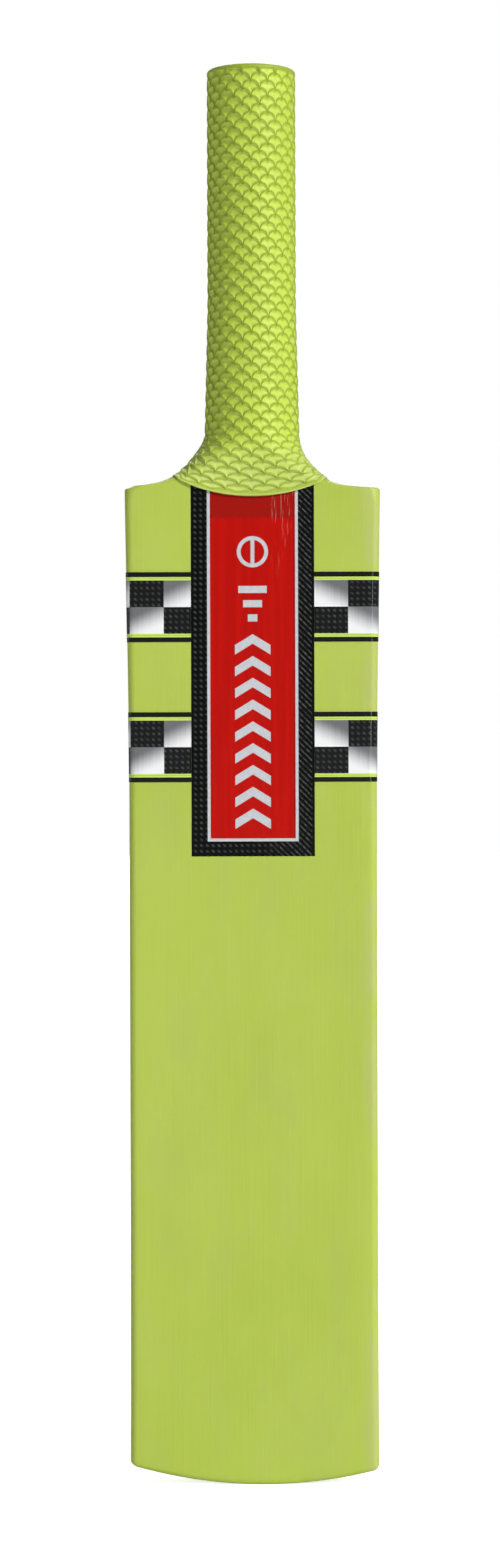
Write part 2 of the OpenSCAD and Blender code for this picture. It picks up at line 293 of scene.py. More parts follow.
def grid_faces(rows, columns, closed_rows=False):
    """Quads of a grid of points kept row by row, where every row is a closed loop.

    They face outwards when the rows go up and the columns run anticlockwise from above.
    """
    row_count = rows if closed_rows else rows - 1
    j, i = np.meshgrid(np.arange(row_count), np.arange(columns), indexing="ij")
    next_i = (i + 1) % columns
    next_j = (j + 1) % rows
    corners = [j * columns + i, j * columns + next_i, next_j * columns + next_i, next_j * columns + i]
    return np.stack(corners, axis=-1).reshape(-1, 4)


def strip_caps(count, start, upwards):
    """Cap of a ring whose second half runs back along its first half."""
    faces = []
    for i in range(count // 2 - 1):
        quad = [start + i, start + i + 1, start + count - 2 - i, start + count - 1 - i]
        faces.append(quad if upwards else quad[::-1])
    return faces


def make_piece(name, points, faces, material, replaced):
    """A shaded mesh piece that stands for CAD nodes. Its points are in millimetres.

    They are kept inside the CAD model's box.
    """
    mesh = bpy.data.meshes.new(name)
    inside = np.clip(np.asarray(points) * MM, *np.array(CAD_BOX))
    mesh.from_pydata(inside.tolist(), [], [list(map(int, f)) for f in faces])
    mesh.validate()
    mesh.shade_smooth()
    mesh.materials.append(material)
    piece = bpy.data.objects.new(name, mesh)
    bpy.context.scene.collection.objects.link(piece)
    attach(piece, "root")
    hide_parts(*replaced)
    return piece


def paint_attribute(piece, name, values):
    attribute = piece.data.attributes.new(name, "FLOAT", "POINT")
    attribute.data.foreach_set("value", np.asarray(values, np.float32))


def loft(rings):
    """Points and faces of a closed skin over rings, from the lowest to the highest."""
    count = len(rings[0])
    faces = grid_faces(len(rings), count).tolist()
    faces += strip_caps(count, 0, upwards=False)
    faces += strip_caps(count, (len(rings) - 1) * count, upwards=True)
    return np.concatenate(rings), faces


def sharpen(piece, degrees):
    """Keeps edges sharper than this angle crisp under smooth shading."""
    piece.data.set_sharp_from_angle(angle=math.radians(degrees))


# ---- the grip ----

COLUMNS = 16                  # scales round the handle
ROW = 3.32                    # height of half a period of scales on the handle
RIM_ROWS = 11                 # half periods between the neck's top and the rim
FLARE_ROW = 3.12              # height of the first of them
FLARE_SHRINK = 0.0475         # each is less high than the one above it by twice this
FLARE_H = FLARE_ROW * RIM_ROWS - FLARE_SHRINK * RIM_ROWS ** 2   # all of them together
DOME = 0.92                   # a scale's arched top, in half periods
STEM = 0.02                   # half the width of the ridge below each scale, in columns
RIDGE = 0.38                  # width of the ridge along each arch, in half periods
WALL = 0.16                   # run of the step below each ridge
RIDGE_SHARE = 0.7             # the most that a ridge takes of a short scale
WALL_SHARE = 0.3              # the most that a step takes of a short scale
SCALE_SPAN = 1.97             # length of a scale, in half periods
ARCH_END = 0.97               # how far an arch has dropped where it meets the stem
FLOOR_RISE = 0.42             # how far a scale's floor has climbed where the ridge starts
BEAD_ROWS = 0.62              # plain bead along the rim
RELIEF = 0.90                 # depth of the scales
END_MARGIN = 0.3              # plain strip under the rounding of the grip's end
TOP_ROW = -(BAT_TOP_Z - END_ROUND - END_MARGIN - NECK_TOP_Z) / ROW
TOP_GAP = 0.12                # half periods from the plain strip to the first scales
TOP_STEP = 0.08               # of which this much slopes down to their floor
COLUMN_STEPS = (0, 0.02, 0.07, 0.14, 0.22, 0.3, 0.38, 0.44, 0.48)
FLOOR_STEPS = (0, 0.35, 0.75)           # shares of a scale's floor
RIDGE_STEPS = ((0.15, -0.42), (0.5, -0.05), (1, 0))     # share of the way over a ridge, relief there
BEAD_STEPS = ((0, -0.55), (0.15, 0.0), (0.5, 0.1), (0.85, 0.0))  # share of the bead, relief there
RELIEF_MAX = 0.15
UNDER_NECK_TOP_Z = NECK_TOP_Z - 1e-6
BORE_LEVELS = (RIM_ROWS, 9, 6, 3, 0.5)  # half periods below the neck's top
DIRECTIONS = np.radians(np.linspace(0, 180, 91))
RIM_TURNS = 14                # rounds of the search for the rim's height
RIM_EASE = 0.4                # share of each round's correction that is taken


def row_drop(n):
    """Share of the way from the neck's top to the rim after n half periods."""
    return (FLARE_ROW * n - FLARE_SHRINK * n * n) / FLARE_H


def grip_radius(z):
    return mix(GRIP_NECK_R, GRIP_R, clamp01((z - NECK_TOP_Z) / (STRAIGHT_Z - NECK_TOP_Z)))


def bore_radius(z):
    return mix(TWINE_NECK_R, TWINE_R, clamp01((z - NECK_TOP_Z) / (STRAIGHT_Z - NECK_TOP_Z)))


def reach(section, phi):
    """Distance from the axis to the section in the direction phi, turned from the face towards +X."""
    turn = np.arctan2(section[:, 0], -section[:, 1])
    k = min(max(int(np.searchsorted(turn, phi)), 1), len(turn) - 1)
    a, e = section[k - 1], section[k] - section[k - 1]
    return (a[0] * e[1] - a[1] * e[0]) / (math.sin(phi) * e[1] + math.cos(phi) * e[0])


def rim_height(phi, side):
    """The rim climbs round the shoulders: its height where it meets the blade in the direction phi."""
    z = SHOULDER_Z + 2
    for _ in range(RIM_TURNS):
        across = reach(half_section(z, 0, side), phi) * math.sin(phi)
        z = mix(z, RIM_Z + RIM_RISE * across ** 2 + RIM_LIFT * across ** 4, RIM_EASE)
    return z


def rim_heights():
    return {side: [rim_height(phi, side) for phi in DIRECTIONS] for side in (1, -1)}


def thinning(sine, n):
    """Share of the grip's thickness left at this sine of the direction, as the rim crosses the shoulders."""
    return 1 - TIP_THINNING * sine ** TIP_POWER * smooth(row_drop(n))


def even_loop(points, shares):
    """Points at the given shares of the way round a closed loop."""
    loop = np.concatenate([points, points[:1]])
    steps = np.linalg.norm(np.diff(loop, axis=0), axis=1)
    run = np.concatenate([[0], np.cumsum(steps)]) / steps.sum()
    return np.stack([np.interp(shares, run, loop[:, i]) for i in range(3)], axis=1)


def flare_level(n, grow, rim, shares):
    """Level curve of the flare, n half periods below the neck's top and off the blade by grow."""
    halves = {}
    for side in (1, -1):
        halves[side] = []
        for phi, low in zip(DIRECTIONS, rim[side]):
            z = mix(NECK_TOP_Z, low, row_drop(n))
            section = half_section(min(z, UNDER_NECK_TOP_Z), grow * thinning(math.sin(phi), n), side)
            r = reach(section, phi)
            halves[side].append((side * r * math.sin(phi), -r * math.cos(phi), z))
    return even_loop(np.array(halves[1] + halves[-1][::-1][1:-1]), shares)


def round_level(r, z, shares):
    """Level circle of radius r, at the given shares of the way round."""
    turn = 2 * math.pi * np.asarray(shares)
    return np.stack([r * np.sin(turn), -r * np.cos(turn), np.full(len(turn), z)], axis=1)


def grip_table(shares, rim):
    """The grip's smooth outer surface: a point and a normal for each level and column."""
    handle = np.linspace(math.floor(TOP_ROW) - 1, 0, 60)
    flare = np.linspace(0, RIM_ROWS, 45)[1:]
    levels = np.concatenate([handle, flare])
    rows = []
    for n in levels:
        if n <= 0:
            z = NECK_TOP_Z - ROW * n
            rows.append(round_level(grip_radius(z), z, shares))
        else:
            thickness = mix(RIM_T, GRIP_NECK_R - NECK_R, smooth(1 - row_drop(n)))
            rows.append(flare_level(n, thickness, rim, shares))
    table = np.array(rows)
    around = np.roll(table, -1, axis=1) - np.roll(table, 1, axis=1)
    down = np.gradient(table, levels, axis=0)
    normal = np.cross(down, around)
    normal /= np.linalg.norm(normal, axis=2, keepdims=True)
    return levels, table, normal


def arch(offset):
    """How far the arched top of a scale has dropped at this offset from its middle, in half periods."""
    u = np.abs(offset) / (0.5 - STEM)
    curve = DOME * (1 - np.sqrt(1 - np.minimum(u, 1) ** 2))
    return np.where(u >= 1 - 1e-6, ARCH_END, curve)


def scale_rows(columns):
    """Level and relief of every mesh row, down the handle, for each column position.

    Relief is 0 on the crest of a ridge and -1 at the deepest part of a scale.
    """
    even = arch(columns - np.round(columns))
    odd = arch(columns - 0.5 - np.round(columns - 0.5))
    bead = RIM_ROWS - BEAD_ROWS
    first = math.ceil(TOP_ROW) - 1
    levels = [np.full(len(columns), TOP_ROW)]
    relief = [np.zeros(len(columns))]
    for n in range(first, int(bead)):
        own, other = (even, odd) if n % 2 == 0 else (odd, even)
        top = n + own
        bottom = np.minimum(n + 1 + other, bead) if n + 2 < bead + 1 else np.full(len(columns), bead)
        wall = np.minimum(WALL, WALL_SHARE * (bottom - top))
        ridge = np.minimum(RIDGE, RIDGE_SHARE * (bottom - top))
        start = np.maximum(top, TOP_ROW + TOP_GAP)
        if n == first:
            levels.append(start - TOP_STEP)
            relief.append(np.zeros(len(columns)))
        for share in FLOOR_STEPS:
            level = mix(start, bottom - ridge, share)
            levels.append(level)
            relief.append(FLOOR_RISE * (level - top) / SCALE_SPAN - 1)
        for share, height in RIDGE_STEPS:
            levels.append(mix(bottom - ridge, bottom - wall, share))
            relief.append(np.full(len(columns), height))
    for share, height in BEAD_STEPS:
        levels.append(np.full(len(columns), bead + BEAD_ROWS * share))
        relief.append(np.full(len(columns), height))
    return np.array(levels), np.minimum(np.array(relief), RELIEF_MAX)


def pick(levels, table, rows):
    """Table values at the given level in each column."""
    k = np.clip(np.searchsorted(levels, rows) - 1, 0, len(levels) - 2)
    t = ((rows - levels[k]) / (levels[k + 1] - levels[k]))[..., None]
    column = np.broadcast_to(np.arange(rows.shape[1]), rows.shape)
    return mix(table[k, column], table[k + 1, column], t)


def grip_end_rows(shares):
    """From the hole in the grip's end out to the top row of scales."""
    hole = [(END_HOLE_R, CANE_TOP_Z + TOUCH)]
    flat = [(mix(END_HOLE_R + END_ROUND, GRIP_R - END_ROUND, t), BAT_TOP_Z) for t in (0.3, 0.7)]
    inner, outer = [], []
    for turn in np.radians(np.linspace(0, 90, 5)):
        early, late = END_ROUND * (1 - math.cos(turn)), END_ROUND * (1 - math.sin(turn))
        inner.append((END_HOLE_R + early, BAT_TOP_Z - late))
        outer.append((GRIP_R - late, BAT_TOP_Z - early))
    return [round_level(r, z, shares) for r, z in hole + inner + flat + outer]


def grip_bore_rows(shares, rim):
    """The hidden inside of the grip, from the rim back up to the hole."""
    rows = [flare_level(n, mix(GLUE_GAP, TOUCH, smooth(1 - row_drop(n))), rim, shares) for n in BORE_LEVELS]
    heights = (NECK_TOP_Z + 1, STRAIGHT_Z, TWINE_TOP_Z + 0.1)
    tube = [(bore_radius(z) + TOUCH, z) for z in heights]
    tube += [
        (CANE_R + TOUCH, TWINE_TOP_Z + 0.2),
        (CANE_R + TOUCH, CANE_TOP_Z + TOUCH),
        (END_HOLE_R + 1, CANE_TOP_Z + TOUCH)]
    return rows + [round_level(r, z, shares) for r, z in tube]


def build_grip(material):
    """The scaled sleeve. Its attributes tell the material how high and how far down a point lies."""
    columns = np.concatenate([k / 2 + np.array(COLUMN_STEPS) for k in range(2 * COLUMNS)])
    shares = columns / COLUMNS
    rim = rim_heights()
    table_levels, table, normal = grip_table(shares, rim)
    rows, relief = scale_rows(columns)
    base = pick(table_levels, table, rows)
    sine = np.abs(base[..., 0]) / np.hypot(base[..., 0], base[..., 1])
    depth = RELIEF * relief * thinning(sine, rows)
    skin = base + pick(table_levels, normal, rows) * depth[..., None]
    end = grip_end_rows(shares)
    bore = grip_bore_rows(shares, rim)
    points = np.concatenate(end + list(skin) + bore)
    count = len(end) + len(skin) + len(bore)
    faces = grid_faces(count, len(columns), closed_rows=True)[:, ::-1]
    piece = make_piece("grip_scales", points, faces, material, ["grip"])
    flat = len(columns)
    height = np.concatenate([np.ones(len(end) * flat), 1 + relief.ravel(), np.ones(len(bore) * flat)])
    level = np.concatenate([np.full(len(end) * flat, TOP_ROW), rows.ravel(), np.zeros(len(bore) * flat)])
    paint_attribute(piece, "relief", height)
    paint_attribute(piece, "level", level)


# ---- the blade and its wrapped bands ----

def build_blade(material):
    points, faces = loft([blade_ring(z) for z in blade_heights()])
    make_piece("blade_paint", points, faces, material, ["blade"])


def build_band(name, material, side, first_edge):
    """A thin printed film from beside the face label, round the edge, to the back."""
    low, high = (corner.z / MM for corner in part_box(name))
    heights = np.linspace(low, high, BAND_ROWS)
    rings, run, rise, column = [], [], [], []
    for z in heights:
        stop = half_w(z, side) - BAND_WRAP
        outer, inner = (
            lifted(half_section(z, PAINT_T + lift, side, BAND_START_X, stop, BAND_FLAT_STEPS), z, side)
            for lift in (BAND_T, BAND_LIFT))
        steps = np.linalg.norm(np.diff(outer, axis=0), axis=1)
        along = np.concatenate([[0], np.cumsum(steps)])
        rings.append(np.concatenate([outer, inner[::-1]]))
        run.append(np.concatenate([along, along[::-1]]))
        column.append(1 + (run[-1] - first_edge + BAND_START_X) / CHECK_W)
        rise.append(np.full(2 * len(outer), z - low))
    points, faces = loft(rings)
    if side < 0:
        faces = [face[::-1] for face in faces]
    piece = make_piece(name + "_film", points, faces, material, [name])
    paint_attribute(piece, "run", side * np.concatenate(run))
    paint_attribute(piece, "column", np.concatenate(column))
    paint_attribute(piece, "rise", np.concatenate(rise))
    sharpen(piece, BAND_CREASE)


# ---- materials ----

class Painter:
    """Builds one node material. Each method adds nodes and returns an output."""

    def __init__(self, name):
        self.material = bpy.data.materials.new(name)
        self.material.use_nodes = True
        self.tree = self.material.node_tree
        self.shader = self.tree.nodes["Principled BSDF"]
        self.where = None

    def put(self, socket, value):
        if isinstance(value, bpy.types.NodeSocket):
            self.tree.links.new(value, socket)
        else:
            socket.default_value = value

    def node(self, kind, inputs, **settings):
        node = self.tree.nodes.new(kind)
        for key, value in settings.items():
            setattr(node, key, value)
        for key, value in inputs.items():
            self.put(node.inputs[key], value)
        return node

    def math(self, operation, a, b=0.0):
        return self.node("ShaderNodeMath", {0: a, 1: b}, operation=operation).outputs[0]

    def place(self):
        """Place on the object in millimetres, as one vector."""
        if self.where is None:
            spot = self.node("ShaderNodeTexCoord", {}).outputs["Object"]
            node = self.node("ShaderNodeVectorMath", {0: spot, "Scale": 1 / MM}, operation="SCALE")
            self.where = node.outputs[0]
        return self.where

    def stretch(self, x, y, z):
        """Place on the object, scaled along each axis."""
        node = self.node("ShaderNodeVectorMath", {0: self.place(), 1: (x, y, z)}, operation="MULTIPLY")
        return node.outputs[0]

    def split(self):
        """Place on the object as x, y and z."""
        return tuple(self.node("ShaderNodeSeparateXYZ", {0: self.place()}).outputs)

    def noise(self, vector, detail=3.0, roughness=0.5):
        inputs = {"Vector": vector, "Scale": 1.0, "Detail": detail, "Roughness": roughness}
        return self.node("ShaderNodeTexNoise", inputs).outputs["Fac"]

    def step(self, value, low, high, to_low=0.0, to_high=1.0):
        """Eased change from to_low to to_high as value goes from low to high."""
        inputs = {"Value": value, "From Min": low, "From Max": high, "To Min": to_low, "To Max": to_high}
        return self.node("ShaderNodeMapRange", inputs, interpolation_type="SMOOTHSTEP").outputs[0]

    def blend(self, share, a, b):
        node = self.node("ShaderNodeMix", {}, data_type="RGBA")
        self.put(node.inputs[0], share)
        self.put(node.inputs[6], a)
        self.put(node.inputs[7], b)
        return node.outputs[2]

    def attribute(self, name):
        return self.node("ShaderNodeAttribute", {}, attribute_name=name).outputs["Fac"]

    def bump(self, height, depth):
        """Normals of a fine relief, this deep in millimetres."""
        inputs = {"Height": height, "Distance": depth * MM, "Strength": 1.0}
        return self.node("ShaderNodeBump", inputs).outputs[0]

    def finish(self, **sockets):
        for key, value in sockets.items():
            self.put(self.shader.inputs[key.replace("_", " ")], value)
        return self.material


def rgb(r, g, b):
    return (r, g, b, 1.0)


LIME = rgb(0.437, 0.555, 0.060)
LIME_LIGHT = rgb(0.50, 0.62, 0.092)
LIME_DARK = rgb(0.36, 0.465, 0.046)
LIME_DULL = rgb(0.42, 0.50, 0.12)
LIME_WORN_AND_LIT = rgb(0.50, 0.52, 0.20)
RUBBED_AND_LIT_X = (44.0, 51.0)       # the paint gets more worn between these, and paler there as a painted highlight

SCALE_LIME = rgb(0.57, 0.72, 0.075)     # on the handle
SCALE_LIME_LOW = rgb(0.62, 0.72, 0.20)  # towards the rim
# ridge colours: a deeper rubber tone, darkened further as painted shade of the steps under the arches
RIDGE_LIME_SHADED = rgb(0.32, 0.43, 0.02)
RIDGE_LIME_LOW_SHADED = rgb(0.39, 0.50, 0.045)
BEAD_LIME = rgb(0.56, 0.69, 0.13)
SPECK_LIME = rgb(0.62, 0.70, 0.25)
CLOUD_LIME = rgb(0.36, 0.50, 0.05)

FILM_GLOSS = 0.15
BLACK = rgb(0.002, 0.0025, 0.002)
DOT_GREY = rgb(0.055, 0.06, 0.058)
TWILL_GREY = rgb(0.105, 0.11, 0.11)
DOT_PITCH = (2.45, 2.4)       # across and up
DOT_SIZE = (0.42, 0.26)       # half the length and half the width of a dot, as shares of the pitch
DOT_SLANT = 40                # degrees
DOT_SHIFT = 50.0              # moves the label's dots across
TWILL_PITCH = 2.5
TWILL_X = (4.0, 14.0)         # the dots give way to twill between these
PLAIN_BORDER = (1.3, 0.9)     # the pattern fades out this far inside the label's sides

RED = rgb(0.48, 0.003, 0.001)
# lighter red of the painted reflection streaks
RED_REFLECTION_STREAK = rgb(0.55, 0.004, 0.001)
RED_SHADED = rgb(0.36, 0.006, 0.003)
RED_LINE = rgb(0.30, 0.002, 0.002)
HIGHLIGHT_PINK = rgb(0.75, 0.45, 0.42)
SHADED_DROP = (9.5, 8.5)      # the red is darker from this far under the rim
HIGHLIGHT_X = (5.0, 10.0)         # the painted highlight comes in between these
HIGHLIGHT_DROP = (38, 6)          # and between these distances under the rim
RED_LINE_W = (0.9, 0.5)       # the dark line starts this far inside the panel's right side

SILVER = rgb(0.54, 0.56, 0.60)
SILVER_LIGHT = rgb(0.61, 0.63, 0.66)
METAL_LIGHT = rgb(0.93, 0.93, 0.94)
METAL_DARK = rgb(0.16, 0.165, 0.175)
LINE_LIME = rgb(0.62, 0.83, 0.14)
HAIR_LIME = rgb(0.30, 0.45, 0.04)
BAND_BLACK = (2.0, 27.4)      # heights in a band at which its black edge lines end
BAND_CHECKS = (3.5, 26.0)     # where its checks start and end
BAND_MIDDLE = 14.75           # between the two rows of checks
LIME_LINES = (2.75, 26.7)     # middles of its two lime lines
CHECK_LEAN = 0.6              # how much the shading of a check leans
STREAKS = 0.2

CANE_DARK = rgb(0.52, 0.33, 0.15)
CANE_LIGHT = rgb(0.72, 0.52, 0.28)
PORE_BROWN = rgb(0.12, 0.06, 0.025)
RUBBER_DARK = rgb(0.02, 0.02, 0.02)
RUBBER_LIGHT = rgb(0.05, 0.048, 0.045)
TWINE_GAP_SHADE = rgb(0.30, 0.23, 0.13)
TWINE_LIGHT = rgb(0.74, 0.64, 0.44)
TWINE_FUZZ = rgb(0.50, 0.40, 0.24)
TWINE_PITCH = 0.9


def paint_material():
    """Lime paint over wood grain, a little worn along the right edge and paler there as a painted highlight.
    """
    p = Painter("lime_paint_over_wood")
    x = p.split()[0]
    grain = p.noise(p.stretch(1.3, 1.3, 0.02), detail=6.0, roughness=0.6)
    fibre = p.noise(p.stretch(5.0, 5.0, 0.12), detail=3.0)
    patch = p.noise(p.stretch(0.035, 0.035, 0.016), detail=5.0)
    wear = p.noise(p.stretch(0.05, 0.05, 0.02), detail=8.0, roughness=0.6)
    colour = p.blend(p.step(grain, 0.3, 0.7), LIME_DARK, LIME_LIGHT)
    colour = p.blend(0.86, colour, LIME)
    colour = p.blend(p.step(patch, 0.3, 0.7, 0.0, 0.45), colour, LIME_LIGHT)
    colour = p.blend(p.step(fibre, 0.45, 0.8, 0.0, 0.10), colour, LIME_DARK)
    colour = p.blend(p.step(wear, 0.45, 0.7, 0.0, 0.3), colour, LIME_DULL)
    # wear along the right edge, lightened as well as a painted highlight of the edge catching the light
    rubbed_and_lit = p.step(x, *RUBBED_AND_LIT_X, 0.0, 0.45)
    colour = p.blend(p.math("MULTIPLY", rubbed_and_lit, p.step(wear, 0.4, 0.55)), colour, LIME_WORN_AND_LIT)
    height = p.math("ADD", grain, p.math("MULTIPLY", fibre, 0.4))
    rough = p.step(wear, 0.3, 0.8, 0.42, 0.58)
    return p.finish(Base_Color=colour, Roughness=rough, Normal=p.bump(height, 0.06))


def grip_material():
    """Rubber with light scales between darker ridges, darker partly by the rubber's deeper tone and partly
    as painted shade of the steps under the arches, and a light bead along the rim.
    """
    p = Painter("lime_rubber")
    relief = p.attribute("relief")
    level = p.attribute("level")
    speck = p.noise(p.stretch(1.1, 1.1, 1.1), detail=4.0)
    cloud = p.noise(p.stretch(0.05, 0.05, 0.03), detail=3.0)
    towards_rim = p.step(level, 0.0, 8.0, 0.0, 0.7)
    floor = p.blend(towards_rim, SCALE_LIME, SCALE_LIME_LOW)
    # the ridges' darker colour is partly the rubber's tone and partly painted shade along the arches
    ridge = p.blend(p.step(level, -4.0, 6.0), RIDGE_LIME_SHADED, RIDGE_LIME_LOW_SHADED)
    colour = p.blend(p.step(relief, 0.1, 0.85), floor, ridge)
    colour = p.blend(p.step(level, RIM_ROWS - BEAD_ROWS, RIM_ROWS - BEAD_ROWS / 2), colour, BEAD_LIME)
    colour = p.blend(p.step(speck, 0.4, 0.8, 0.0, 0.15), colour, SPECK_LIME)
    colour = p.blend(p.step(cloud, 0.35, 0.7, 0.0, 0.2), colour, CLOUD_LIME)
    rough = p.step(speck, 0.3, 0.7, 0.45, 0.6)
    return p.finish(Base_Color=colour, Roughness=rough, Normal=p.bump(speck, 0.08))


def woven_dots(p, across, up):
    """Share of light in a grid of short slanted dots, like a printed weave."""
    u = p.math("SUBTRACT", p.math("FRACT", p.math("DIVIDE", across, DOT_PITCH[0])), 0.5)
    v = p.math("SUBTRACT", p.math("FRACT", p.math("DIVIDE", up, DOT_PITCH[1])), 0.5)
    cos, sin = math.cos(math.radians(DOT_SLANT)), math.sin(math.radians(DOT_SLANT))
    along = p.math("SUBTRACT", p.math("MULTIPLY", u, cos), p.math("MULTIPLY", v, sin))
    side = p.math("ADD", p.math("MULTIPLY", u, sin), p.math("MULTIPLY", v, cos))
    squares = [
        p.math("POWER", p.math("ABSOLUTE", p.math("DIVIDE", part, size)), 2.0)
        for part, size in zip((along, side), DOT_SIZE)]
    return p.step(p.math("ADD", *squares), 1.0, 0.1)


def woven_colour(p, across, up):
    """Colour of the black weave, and its share of light."""
    dots = woven_dots(p, across, up)
    uneven = p.step(p.noise(p.stretch(0.35, 0.35, 0.35), detail=2.0), 0.35, 0.7, 0.45, 1.0)
    return p.blend(p.math("MULTIPLY", dots, uneven), BLACK, DOT_GREY), dots


def black_film_material():
    """Black film with woven dots on the left and twill on the right."""
    p = Painter("black_woven_film")
    x, _, z = p.split()
    colour, dots = woven_colour(p, p.math("ADD", x, DOT_SHIFT), z)
    thread = p.math("SINE", p.math("MULTIPLY", p.math("ADD", x, z), 2 * math.pi / TWILL_PITCH))
    uneven = p.noise(p.stretch(0.8, 0.8, 0.5), detail=4.0, roughness=0.7)
    twill = p.math("MULTIPLY", p.step(thread, 0.1, 0.95), p.step(uneven, 0.4, 0.65, 0.1, 1.0))
    right = p.step(x, *TWILL_X)
    colour = p.blend(right, colour, p.blend(twill, BLACK, TWILL_GREY))
    edge = p.step(p.math("ABSOLUTE", x), *(LABEL_HIGH[0] - w for w in PLAIN_BORDER))
    colour = p.blend(edge, colour, BLACK)
    return p.finish(
        Base_Color=colour, Roughness=0.22, Specular_IOR_Level=FILM_GLOSS, Normal=p.bump(dots, 0.03))


def red_film_material():
    """Red film, darker just under the grip, with painted reflection streaks and a patchy painted highlight
    at its upper right.
    """
    p = Painter("red_film")
    x, _, z = p.split()
    streak = p.noise(p.stretch(0.5, 0.5, 0.012), detail=4.0)
    crease = p.noise(p.stretch(0.35, 0.35, 0.05), detail=3.0)
    # lighter red along the vertical streaks is a painted reflection in the wavy gloss film
    colour = p.blend(p.step(streak, 0.35, 0.7), RED, RED_REFLECTION_STREAK)
    shaded = p.step(z, *(RIM_Z - drop for drop in SHADED_DROP))
    colour = p.blend(shaded, colour, RED_SHADED)
    # patchy painted highlight at the panel's upper right, near the rim
    patchy_highlight = p.step(p.noise(p.stretch(1.1, 1.1, 0.08), detail=5.0, roughness=0.6), 0.54, 0.7, 0.0, 0.4)
    near_rim = p.step(z, *(RIM_Z - drop for drop in HIGHLIGHT_DROP))
    highlight_area = p.math("MULTIPLY", p.step(x, *HIGHLIGHT_X), near_rim)
    colour = p.blend(p.math("MULTIPLY", patchy_highlight, highlight_area), colour, HIGHLIGHT_PINK)
    line = p.step(x, *(PANEL_HIGH[0] - w for w in RED_LINE_W))
    colour = p.blend(line, colour, RED_LINE)
    height = p.math("ADD", streak, crease)
    return p.finish(
        Base_Color=colour, Roughness=0.25, Specular_IOR_Level=FILM_GLOSS, Normal=p.bump(height, 0.04))


def silver_film_material():
    p = Painter("silver_film")
    fine = p.noise(p.stretch(0.8, 0.8, 0.8), detail=4.0)
    colour = p.blend(p.step(fine, 0.3, 0.7), SILVER, SILVER_LIGHT)
    rough = p.step(fine, 0.3, 0.7, 0.28, 0.4)
    return p.finish(Base_Color=colour, Roughness=rough, Normal=p.bump(fine, 0.02))


def checker_material():
    """Black edge lines, lime lines and two rows of checks, along the run and rise of a band."""
    p = Painter("checker_film")
    run = p.attribute("run")
    rise = p.attribute("rise")
    woven = woven_colour(p, run, rise)[0]
    low, high = BAND_CHECKS
    column = p.attribute("column")
    upper = p.math("GREATER_THAN", rise, BAND_MIDDLE)
    odd = p.math("MODULO", p.math("FLOOR", column), 2.0)
    silver = p.math("ABSOLUTE", p.math("SUBTRACT", upper, odd))
    part = p.math("FRACT", column)
    lower_share = p.math("DIVIDE", p.math("SUBTRACT", rise, low), BAND_MIDDLE - low)
    upper_share = p.math("DIVIDE", p.math("SUBTRACT", rise, BAND_MIDDLE), high - BAND_MIDDLE)
    more = p.math("MULTIPLY", upper, p.math("SUBTRACT", upper_share, lower_share))
    share = p.math("ADD", more, lower_share)
    lean = p.math("MULTIPLY", p.math("SUBTRACT", part, 0.5), CHECK_LEAN)
    brushed = p.noise(p.node("ShaderNodeCombineXYZ", {0: run}).outputs[0], detail=4.0)
    streaks = p.math("MULTIPLY", p.math("SUBTRACT", brushed, 0.5), STREAKS)
    shade = p.math("ADD", p.math("ADD", share, lean), streaks)
    metal = p.blend(p.step(shade, 0.0, 0.95), METAL_LIGHT, METAL_DARK)
    colour = p.blend(silver, woven, metal)
    for edges, paint in ((BAND_CHECKS, LINE_LIME), (BAND_BLACK, BLACK)):
        colour = p.blend(p.math("LESS_THAN", rise, edges[0]), colour, paint)
        colour = p.blend(p.math("GREATER_THAN", rise, edges[1]), colour, paint)
    for middle in LIME_LINES:
        hair = p.step(p.math("ABSOLUTE", p.math("SUBTRACT", rise, middle)), 0.35, 0.1, 0.0, 0.55)
        colour = p.blend(hair, colour, HAIR_LIME)
    return p.finish(
        Base_Color=colour, Roughness=0.2, Specular_IOR_Level=FILM_GLOSS,
        Coat_Weight=0.8, Coat_Roughness=0.12, Normal=p.bump(brushed, 0.01))


def cane_material():
    """Bare cane with fibre pores on its ends, and the blade's paint over the splice."""
    p = Painter("cane")
    z = p.split()[2]
    cells = p.node("ShaderNodeTexVoronoi", {"Vector": p.stretch(1.5, 1.5, 0.02), "Scale": 1.0})
    pores = cells.outputs["Distance"]
    fibre = p.noise(p.stretch(1.6, 1.6, 0.03), detail=5.0)
    bare = p.blend(p.step(fibre, 0.3, 0.7), CANE_DARK, CANE_LIGHT)
    bare = p.blend(p.step(pores, 0.28, 0.12), bare, PORE_BROWN)
    colour = p.blend(p.math("LESS_THAN", z, NECK_TOP_Z), bare, LIME)
    return p.finish(Base_Color=colour, Roughness=0.6, Normal=p.bump(fibre, 0.08))


def spring_material():
    """Dark rubber, and the blade's paint over the splice."""
    p = Painter("spring_rubber")
    z = p.split()[2]
    fine = p.noise(p.stretch(2.0, 2.0, 2.0), detail=4.0)
    bare = p.blend(p.step(fine, 0.3, 0.7), RUBBER_DARK, RUBBER_LIGHT)
    colour = p.blend(p.math("LESS_THAN", z, NECK_TOP_Z), bare, LIME)
    return p.finish(Base_Color=colour, Roughness=0.75, Normal=p.bump(fine, 0.05))


